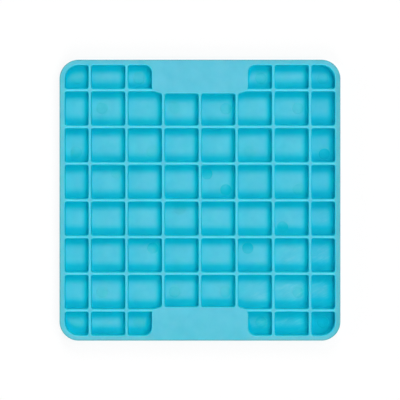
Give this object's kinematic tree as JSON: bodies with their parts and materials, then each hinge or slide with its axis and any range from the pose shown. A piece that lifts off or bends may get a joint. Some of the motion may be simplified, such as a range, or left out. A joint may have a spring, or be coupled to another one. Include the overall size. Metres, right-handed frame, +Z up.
{
  "type": "lick mat",
  "caption": "Flat square lick mat: a soft moulded top of shallow walled pockets with two plain finger tabs, overmoulded on a rigid backing plate.",
  "frame": {"origin": "centre of the underside, on the surface that the mat rests on", "axes": "+Z up, out of the open pockets; +Y towards one finger tab and -Y towards the other; +X across the tabs"},
  "size_m": [0.2, 0.2, 0.0075],
  "materials": {
    "soft_rubber": "turquoise thermoplastic rubber with a fine satin texture",
    "backing_plastic": "moulded polypropylene, fine matte texture, darker turquoise"
  },
  "bodies": {
    "root": {"licking_mat": "soft_rubber", "backing_plate": "backing_plastic"}
  },
  "joints": []
}
